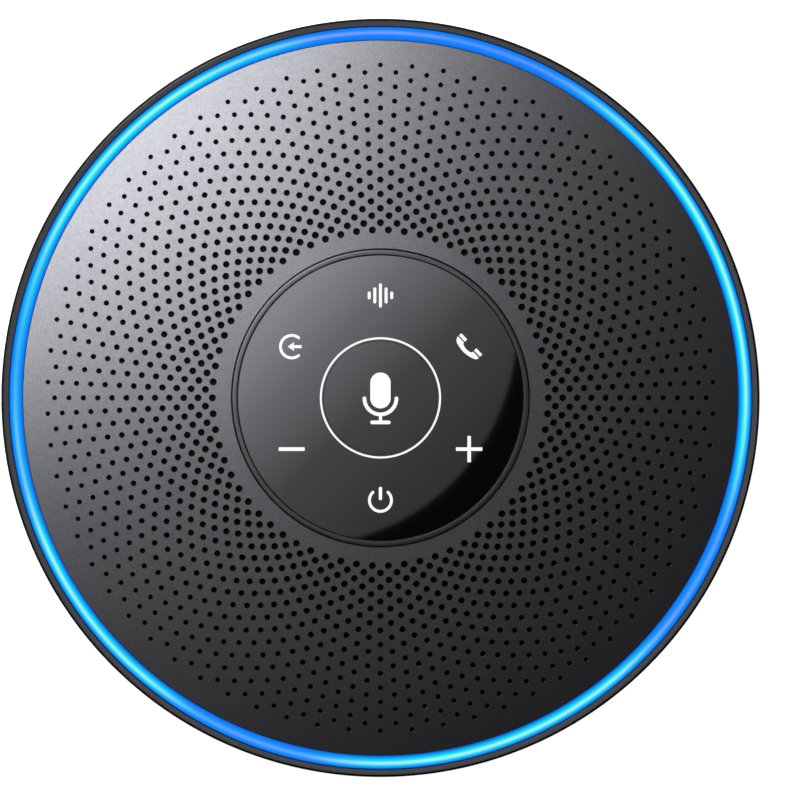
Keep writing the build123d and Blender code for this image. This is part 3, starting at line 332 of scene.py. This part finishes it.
materials = {
    "grille_metal": grille_metal(),
    "rim_metal": rim_metal(),
    "rim_plastic": moulded_plastic("rim_plastic", (0.004, 0.004, 0.0045), (0.007, 0.007, 0.0075),
                                   0.34, 0.42, 0.3, 0.006, specular=0.1),
    "panel_bezel_metal": trim_metal(),
    "panel_gloss": panel_gloss(),
    "icon_white": icon_white(),
    "light_guide": light_guide(),
    "mesh_cloth": acoustic_cloth(),
    "housing_plastic": moulded_plastic("housing_plastic", (0.010, 0.010, 0.011), (0.015, 0.015, 0.0165),
                                       0.42, 0.52, 0.35, 0.012),
    "inner_plastic": moulded_plastic("inner_plastic", (0.012, 0.012, 0.012), (0.018, 0.018, 0.018),
                                     0.5, 0.6, 0.8, 0.01),
    "jack_plastic": moulded_plastic("jack_plastic", (0.012, 0.012, 0.012), (0.02, 0.02, 0.02),
                                    0.35, 0.45, 0.5, 0.01),
    "chip_black": moulded_plastic("chip_black", (0.010, 0.010, 0.011), (0.016, 0.016, 0.017),
                                  0.5, 0.6, 0.3, 0.01),
    "connector_plastic": moulded_plastic("connector_plastic", (0.62, 0.59, 0.50), (0.70, 0.67, 0.58),
                                         0.4, 0.5, 0.8, 0.01),
    "led_body": moulded_plastic("led_body", (0.75, 0.72, 0.55), (0.85, 0.82, 0.65), 0.2, 0.3, 0.4, 0.005),
    "film_black": moulded_plastic("film_black", (0.012, 0.012, 0.014), (0.02, 0.02, 0.022),
                                  0.2, 0.3, 2.0, 0.005),
    "flex_amber": moulded_plastic("flex_amber", (0.34, 0.12, 0.012), (0.44, 0.17, 0.02),
                                  0.22, 0.3, 1.5, 0.01),
    "battery_wrap": moulded_plastic("battery_wrap", (0.02, 0.09, 0.28), (0.03, 0.12, 0.34),
                                    0.22, 0.32, 3.0, 0.03),
    "label_foil": moulded_plastic("label_foil", (0.045, 0.045, 0.048), (0.055, 0.055, 0.06),
                                  0.35, 0.45, 0.5, 0.004),
    "foot_rubber": rubber("foot_rubber", (0.012, 0.012, 0.012), (0.020, 0.020, 0.021)),
    "boot_rubber": rubber("boot_rubber", (0.012, 0.012, 0.012), (0.018, 0.018, 0.018)),
    "gasket_foam": rubber("gasket_foam", (0.012, 0.012, 0.012), (0.03, 0.03, 0.03), 0.3),
    "cone_paper": rubber("cone_paper", (0.016, 0.016, 0.016), (0.026, 0.026, 0.026), 0.2),
    "spider_cloth": rubber("spider_cloth", (0.42, 0.27, 0.09), (0.52, 0.36, 0.13), 0.2),
    "basket_steel": metal("basket_steel", (0.03, 0.03, 0.03), (0.04, 0.04, 0.04), 0.35, 0.45),
    "plated_steel": metal("plated_steel", (0.50, 0.50, 0.52), (0.60, 0.60, 0.62), 0.28, 0.38),
    "spring_steel": metal("spring_steel", (0.58, 0.58, 0.60), (0.68, 0.68, 0.70), 0.18, 0.28),
    "magnet_nickel": metal("magnet_nickel", (0.60, 0.60, 0.60), (0.70, 0.70, 0.70), 0.10, 0.18),
    "coil_copper": metal("coil_copper", (0.55, 0.20, 0.08), (0.68, 0.28, 0.12), 0.25, 0.35, 0.2),
    "circuit_board": circuit_board(),
}
slot_of = {row["node"]: row["material_slot"] for row in frame["record"]["subparts"]}
for name, cad in nodes.items():
    cad.data.materials.clear()
    cad.data.materials.append(materials[slot_of[name]])


# ---------------------------------------------------------------- perforated grille
def ray_radii(ray):
    """Distances of one ray's holes from the centre of the object, from the rim inwards."""
    first = HOLE_R0 - (PITCH / 2 if ray % 2 else 0.0)
    return [first - k * PITCH for k in range(HOLES_PER_RAY)]


def hole_radius(centre_r):
    """Holes grow from the rim towards the middle."""
    depth = (HOLE_R0 - centre_r) / PITCH
    return HOLE_R_OUT + (HOLE_R_IN - HOLE_R_OUT) * depth / HOLES_PER_RAY


def polar_point(radius, angle, z):
    """Point at a radius and an angle round the centre of the object."""
    return (radius * math.cos(angle), radius * math.sin(angle), z)


def build_grille():
    """Perforated ring from one cell per hole, so every hole is a true round hole with a soft edge."""
    sides = 4                       # steps along each side of a cell
    around = 4 * sides              # points round a hole
    step = 2 * math.pi / RAYS
    top, bottom = GRILLE_Z, grille_low.z
    bm = bmesh.new()
    cache = {}

    def vert(radius, angle_index, z):
        """Shared vertex of the cell grid. angle_index counts quarters of a ray's sector."""
        key = (round(radius * 1e7), angle_index % (RAYS * sides), z)
        if key not in cache:
            angle = math.pi / 2 + (angle_index / sides - 0.5) * step
            cache[key] = bm.verts.new(polar_point(radius, angle, z))
        return cache[key]

    def cell_border(ray, r_mid, z):
        """Border of a cell as `around` shared vertices, anticlockwise from its outer right corner."""
        first = ray * sides
        low, high = r_mid - PITCH / 2, r_mid + PITCH / 2
        border = [vert(high, first + k, z) for k in range(sides)]
        border += [vert(high - PITCH * k / sides, first + sides, z) for k in range(sides)]
        border += [vert(low, first + sides - k, z) for k in range(sides)]
        border += [vert(low + PITCH * k / sides, first, z) for k in range(sides)]
        return border

    def bridge(ring_a, ring_b, curved):
        """Faces between two rings of equally many points."""
        for i, start in enumerate(ring_a):
            j = (i + 1) % len(ring_a)
            bm.faces.new([start, ring_a[j], ring_b[j], ring_b[i]]).smooth = curved

    for ray in range(RAYS):
        angle = math.pi / 2 + ray * step
        for centre_r in ray_radii(ray):
            hole_r = hole_radius(centre_r)
            centre = Vector(polar_point(centre_r, angle, 0.0))

            def ring(radius, z):
                """Ring of points round this hole."""
                made = []
                for i in range(around):
                    # first point faces the cell's outer right corner
                    turn = angle - math.pi / 4 + 2 * math.pi * i / around
                    made.append(bm.verts.new((centre.x + radius * math.cos(turn),
                                              centre.y + radius * math.sin(turn), z)))
                return made

            rims = [ring(hole_r + HOLE_EDGE, top), ring(hole_r, top - HOLE_EDGE), ring(hole_r, bottom)]
            bridge(cell_border(ray, centre_r, top), rims[0], curved=False)
            for upper, lower in zip(rims, rims[1:]):
                bridge(upper, lower, curved=True)
            bridge(rims[-1], cell_border(ray, centre_r, bottom), curved=False)
        # plain filler where this ray starts or ends half a pitch short
        short = HOLE_R0 if ray % 2 else HOLE_R0 - PITCH * HOLES_PER_RAY + PITCH / 2
        for z in (top, bottom):
            for k in range(sides // 2):
                outer = short + PITCH / 2 - PITCH * k / sides if ray % 2 else short - PITCH * k / sides
                inner = outer - PITCH / sides
                for s in range(sides):
                    first = ray * sides + s
                    bm.faces.new([vert(outer, first, z), vert(outer, first + 1, z),
                                  vert(inner, first + 1, z), vert(inner, first, z)])
    # borders: from the cells out to the rim and in to the panel, over a rounded edge
    cells_out = HOLE_R0 + PITCH / 2
    cells_in = HOLE_R0 - PITCH * HOLES_PER_RAY
    rim = grille_high.x
    soft = BORDER_EDGE

    def border(radii_heights):
        """Rings of faces along a profile of (radius, height) points."""
        for (r_a, z_a), (r_b, z_b) in zip(radii_heights, radii_heights[1:]):
            for first in range(RAYS * sides):
                face = bm.faces.new([vert(r_a, first, z_a), vert(r_a, first + 1, z_a),
                                     vert(r_b, first + 1, z_b), vert(r_b, first, z_b)])
                face.smooth = z_a != z_b

    def lip(radius, sign):
        """Profile from the top face over a rounded edge to the bottom face."""
        return [(radius - sign * soft, top), (radius - sign * 0.3 * soft, top - 0.3 * soft),
                (radius, top - soft), (radius, bottom + 0.5 * soft), (radius - sign * 0.5 * soft, bottom)]

    border([(cells_out, top), *lip(rim, 1), (cells_out, bottom)])
    border([(cells_in, top), *lip(GRILLE_R_IN, -1), (cells_in, bottom)])
    bmesh.ops.recalc_face_normals(bm, faces=bm.faces)
    mesh = bpy.data.meshes.new("perforated_grille")
    bm.to_mesh(mesh)
    bm.free()
    mesh.materials.append(materials["grille_metal"])
    piece = bpy.data.objects.new("perforated_grille", mesh)
    scene.collection.objects.link(piece)
    return piece


grille = build_grille()
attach(grille, "housing")
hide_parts("top_grille")


# ---------------------------------------------------------------- turned rings with soft edges
LATHE_STEPS = 360
CORNER_STEPS = 6
SHARP_ANGLE = 35                # degrees, above which an edge stays sharp


def soften(outline):
    """Closed outline of (radius, height, corner radius) points, its corners turned to arcs."""
    points = []
    for index, (r, z, corner) in enumerate(outline):
        here = Vector((r, z))
        if corner == 0.0:
            points.append(here)
            continue
        before = (Vector(outline[index - 1][:2]) - here).normalized()
        after = (Vector(outline[(index + 1) % len(outline)][:2]) - here).normalized()
        half = before.angle(after) / 2
        centre = here + (before + after).normalized() * corner / math.sin(half)
        start = here + before * corner / math.tan(half) - centre
        end = here + after * corner / math.tan(half) - centre
        for step in range(CORNER_STEPS + 1):
            share = step / CORNER_STEPS
            points.append(centre + (start * (1 - share) + end * share).normalized() * corner)
    return points


def lathe(name, outline, slot, replaced, body="housing"):
    """Solid of revolution from a softened outline in millimetres; it stands for a CAD ring."""
    outline = [(r * MM, z * MM, corner * MM) for r, z, corner in outline]
    profile = soften(outline)
    bm = bmesh.new()
    rings = []
    for step in range(LATHE_STEPS):
        angle = 2 * math.pi * step / LATHE_STEPS
        rings.append([bm.verts.new(polar_point(p.x, angle, p.y)) for p in profile])
    for step, ring in enumerate(rings):
        following = rings[(step + 1) % LATHE_STEPS]
        for index in range(len(profile)):
            after = (index + 1) % len(profile)
            face = bm.faces.new([ring[index], following[index], following[after], ring[after]])
            face.smooth = True
    bmesh.ops.recalc_face_normals(bm, faces=bm.faces)
    mesh = bpy.data.meshes.new(name)
    bm.to_mesh(mesh)
    bm.free()
    mesh.set_sharp_from_angle(angle=math.radians(SHARP_ANGLE))
    mesh.materials.append(materials[slot])
    piece = bpy.data.objects.new(name, mesh)
    scene.collection.objects.link(piece)
    weighted = piece.modifiers.new("flat_faces", "WEIGHTED_NORMAL")
    weighted.keep_sharp = True
    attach(piece, body)
    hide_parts(replaced)
    return piece


trim_in, trim_out, trim_low, trim_high = ring_size("rim_trim")
rim_trim = lathe("rim_trim_ring", [
    (trim_in, trim_low, 0.0),
    (trim_out, trim_low, 0.0),
    (trim_out, trim_high, 0.16),
    (trim_in, trim_high, 0.06),
], slot="rim_metal", replaced="rim_trim")

bezel_in, bezel_out, bezel_low, bezel_high = ring_size("rim_bezel")
wall_in = trim_in - 0.05
lip_high, lip_low = 32.9, 32.3  # of the ledge that reaches in to the CAD ring's inner edge
rim_bezel = lathe("rim_bezel_ring", [
    (wall_in, bezel_low, 0.0),
    (bezel_out, bezel_low, 0.25),
    (bezel_out, bezel_high, 0.28),
    (trim_out + 0.03, bezel_high, 0.06),
    (trim_out + 0.03, trim_low - 0.05, 0.0),
    (wall_in, trim_low - 0.05, 0.0),
    (wall_in, lip_high, 0.0),
    (bezel_in, lip_high, 0.0),
    (bezel_in, lip_low, 0.0),
    (wall_in, lip_low, 0.0),
], slot="rim_plastic", replaced="rim_bezel")

guide_in, guide_out, guide_bottom, guide_top = ring_size("light_guide_ring")
guide_mid, guide_half = (guide_in + guide_out) / 2, (guide_out - guide_in) / 2
CROWN, CROWN_STEPS = 0.4, 12    # how far the guide's edges lie below its middle, and arch steps
crown = []
for step in range(CROWN_STEPS + 1):
    across = 1 - 2 * step / CROWN_STEPS
    softness = 0.06 if step in (0, CROWN_STEPS) else 0.0
    crown.append((guide_mid + guide_half * across, guide_top - CROWN * across ** 2, softness))
guide = lathe("light_guide_band", [
    (guide_in, guide_bottom, 0.0),
    (guide_out, guide_bottom, 0.0),
    *crown,
], slot="light_guide", replaced="light_guide_ring")

collar_in, collar_out, collar_low, collar_high = ring_size("panel_bezel")
lathe("panel_collar", [
    (collar_in, collar_low, 0.0),
    (collar_out, collar_low, 0.0),
    (collar_out, collar_high, 0.08),
    (collar_in, collar_high, 0.12),
], slot="panel_bezel_metal", replaced="panel_bezel")

# the dome switch as its own copy of the CAD mesh; the real dome flattens on its board as the key comes
# down
dome = bpy.data.objects.new("dome_spring", nodes["dome_switch"].data.copy())
scene.collection.objects.link(dome)
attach(dome, "housing")
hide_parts("dome_switch")
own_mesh(dome)

# ---------------------------------------------------------------- studio
FLOOR_SIZE = 20.0
bpy.ops.mesh.primitive_plane_add(size=FLOOR_SIZE)
floor = bpy.context.object
floor.name = "floor"
mat, tree, shader = new_material("pale_floor")
paper = noise(tree, 3.0, detail=4.0)
wire(tree, shader, Base_Color=ramp(tree, paper, (0.3, (0.86, 0.86, 0.86)), (0.7, (0.88, 0.88, 0.88))),
     Roughness=0.9, Emission_Color=(1.0, 1.0, 1.0, 1.0))
shader.inputs["Emission Strength"].default_value = 0.97
floor.data.materials.append(mat)

# white all round to the eye; to the object, a pale horizon under a nearly black ceiling
world = bpy.data.worlds.new("studio")
world.use_nodes = True
world_tree = world.node_tree
background = world_tree.nodes["Background"]
background.inputs["Color"].default_value = (1.0, 1.0, 1.0, 1.0)
skyward = node(world_tree, "SeparateXYZ", {0: node(world_tree, "TexCoord").outputs["Generated"]})
HORIZON_LIGHT, CEILING_LIGHT = 0.55, 0.006
glow = node(world_tree, "MapRange", {"Value": skyward.outputs["Z"], "From Min": 0.15, "From Max": 0.50,
                                     "To Min": HORIZON_LIGHT, "To Max": CEILING_LIGHT})
seen = node(world_tree, "LightPath").outputs["Is Camera Ray"]
level = node(world_tree, "Mix", {"Factor": seen, "A": glow.outputs[0], "B": 1.0})
world_tree.links.new(level.outputs[0], background.inputs["Strength"])
scene.world = world
scene.view_settings.view_transform = "Standard"

# camera straight above, level with the panel's upright icons
VIEW_WIDTH = 134.98 * MM
CAMERA_X, CAMERA_Y = 3.30 * MM, -0.36 * MM
CAMERA_HEIGHT = 3.0
SENSOR_WIDTH = 36.0
camera_data = bpy.data.cameras.new("camera")
camera_data.sensor_width = SENSOR_WIDTH
camera_data.lens = SENSOR_WIDTH * (CAMERA_HEIGHT - GRILLE_Z) / VIEW_WIDTH
camera_data.clip_end = 40.0
camera = bpy.data.objects.new("camera", camera_data)
camera.location = (CAMERA_X, CAMERA_Y, CAMERA_HEIGHT)
scene.collection.objects.link(camera)
scene.camera = camera


def clock_place(degrees, radius, height):
    """Place at an angle clockwise from +Y, at a radius from the centre and a height."""
    angle = math.radians(90 - degrees)
    return (radius * math.cos(angle), radius * math.sin(angle), height)


def area_light(name, place, target, size, power):
    """Round softbox that faces its target and isn't seen by the camera."""
    data = bpy.data.lights.new(name, "AREA")
    data.shape = "DISK"
    data.size = size
    data.energy = power
    lamp = bpy.data.objects.new(name, data)
    lamp.location = place
    lamp.rotation_mode = "QUATERNION"
    lamp.rotation_quaternion = (Vector(target) - Vector(place)).to_track_quat("-Z", "Y")
    lamp.visible_camera = False
    scene.collection.objects.link(lamp)
    return lamp


def aim(lamp, pieces, state):
    """Let a light reach only these pieces (INCLUDE) or all but these (EXCLUDE)."""
    group = bpy.data.collections.new(lamp.name + "_pieces")
    for piece in pieces:
        group.objects.link(piece)
    lamp.light_linking.receiver_collection = group
    for entry in group.collection_objects:
        entry.light_linking.link_state = state


panel_gloss_pieces = [nodes["control_lens"], nodes["mute_key"]]
lit_pieces = [guide, nodes["panel_icons"], nodes["mute_icon"], nodes["mute_light_ring"]]

# softbox over the upper left, which gives the grille its glow
grille_middle = (0.0, 0.0, GRILLE_Z)
key = area_light("key_softbox", place=(-0.0654, 0.0701, GRILLE_Z + 0.156), target=grille_middle,
                 size=0.132, power=0.253)
aim(key, panel_gloss_pieces + lit_pieces + [rim_trim], "EXCLUDE")

# faint light over the middle, which lifts the grille round the panel
centre_fill = area_light("centre_fill", place=(0.0, 0.0, GRILLE_Z + 0.084), target=grille_middle,
                         size=0.060, power=0.0014)
aim(centre_fill, [grille], "INCLUDE")

# side softboxes for chamfers and the bowl
bowl_middle = (0.0, 0.0, 0.02)
left_side = area_light("left_softbox", place=clock_place(325, 0.62, 0.44), target=bowl_middle,
                       size=0.36, power=1.3)
aim(left_side, lit_pieces + [grille], "EXCLUDE")
right_side = area_light("right_softbox", place=clock_place(100, 0.80, 0.30), target=bowl_middle,
                        size=0.50, power=0.6)
aim(right_side, lit_pieces + [rim_bezel, grille], "EXCLUDE")

# wide overhead light for the satin trim in the rim
trim_fill = area_light("trim_fill", place=(0.0, 0.0, 0.9), target=(0.0, 0.0, 0.0), size=0.9, power=1.25)
aim(trim_fill, [rim_trim], "INCLUDE")


CARD_LIFT = 0.40                # above the top of the object
CARD_R = 37.0 * MM              # of its mirror image on the panel
CARD_CLOCK = 316                # side on which it is brightest, in degrees clockwise from +Y
CARD_TINT = (0.97, 0.97, 1.05)


def gradient_card():
    """Round overhead card that only the gloss panel mirrors: bright to the upper left, ending in
    a clean edge to the lower right."""
    height = TOP_Z + CARD_LIFT
    grow = (CAMERA_HEIGHT - TOP_Z + CARD_LIFT) / (CAMERA_HEIGHT - TOP_Z)
    mirror_centre = Vector((-14.0 * MM, 12.0 * MM))
    axis = Vector((CAMERA_X, CAMERA_Y))
    centre = axis + (mirror_centre - axis) * grow
    bpy.ops.mesh.primitive_circle_add(vertices=256, radius=CARD_R * grow, fill_type="NGON",
                                      location=(centre.x, centre.y, height))
    card = bpy.context.object
    card.name = "gradient_card"
    mat, tree, shader = new_material("gradient_card")
    place = node(tree, "TexCoord").outputs["Object"]
    away = math.radians(90 - CARD_CLOCK)
    along = node(tree, "VectorMath", {0: place, 1: (math.cos(away), math.sin(away), 0.0)},
                 operation="DOT_PRODUCT").outputs["Value"]
    # distances along the axis on the panel, and the light level there
    levels = ((-15.0, 0.74), (0.0, 1.27), (12.6, 3.2), (23.0, 5.65), (34.0, 6.2))
    peak = levels[-1][1]
    offset = mirror_centre.dot(Vector((math.cos(away), math.sin(away)))) / MM
    reach = levels[-1][0] - levels[0][0]
    low = (levels[0][0] - offset) * MM * grow
    share = node(tree, "MapRange", {"Value": along, "From Min": low,
                                    "From Max": low + reach * MM * grow}).outputs[0]
    stops = []
    for s, level in levels:
        share_of_peak = level / peak
        stops.append(((s - levels[0][0]) / reach, tuple(tint * share_of_peak for tint in CARD_TINT)))
    wire(tree, shader, Base_Color=(0.0, 0.0, 0.0, 1.0), Roughness=1.0,
         Emission_Color=ramp(tree, share, *stops))
    shader.inputs["Specular IOR Level"].default_value = 0.0
    shader.inputs["Emission Strength"].default_value = peak
    card.data.materials.append(mat)
    card.visible_camera = False
    card.visible_shadow = False
    aim(card, panel_gloss_pieces, "INCLUDE")


gradient_card()
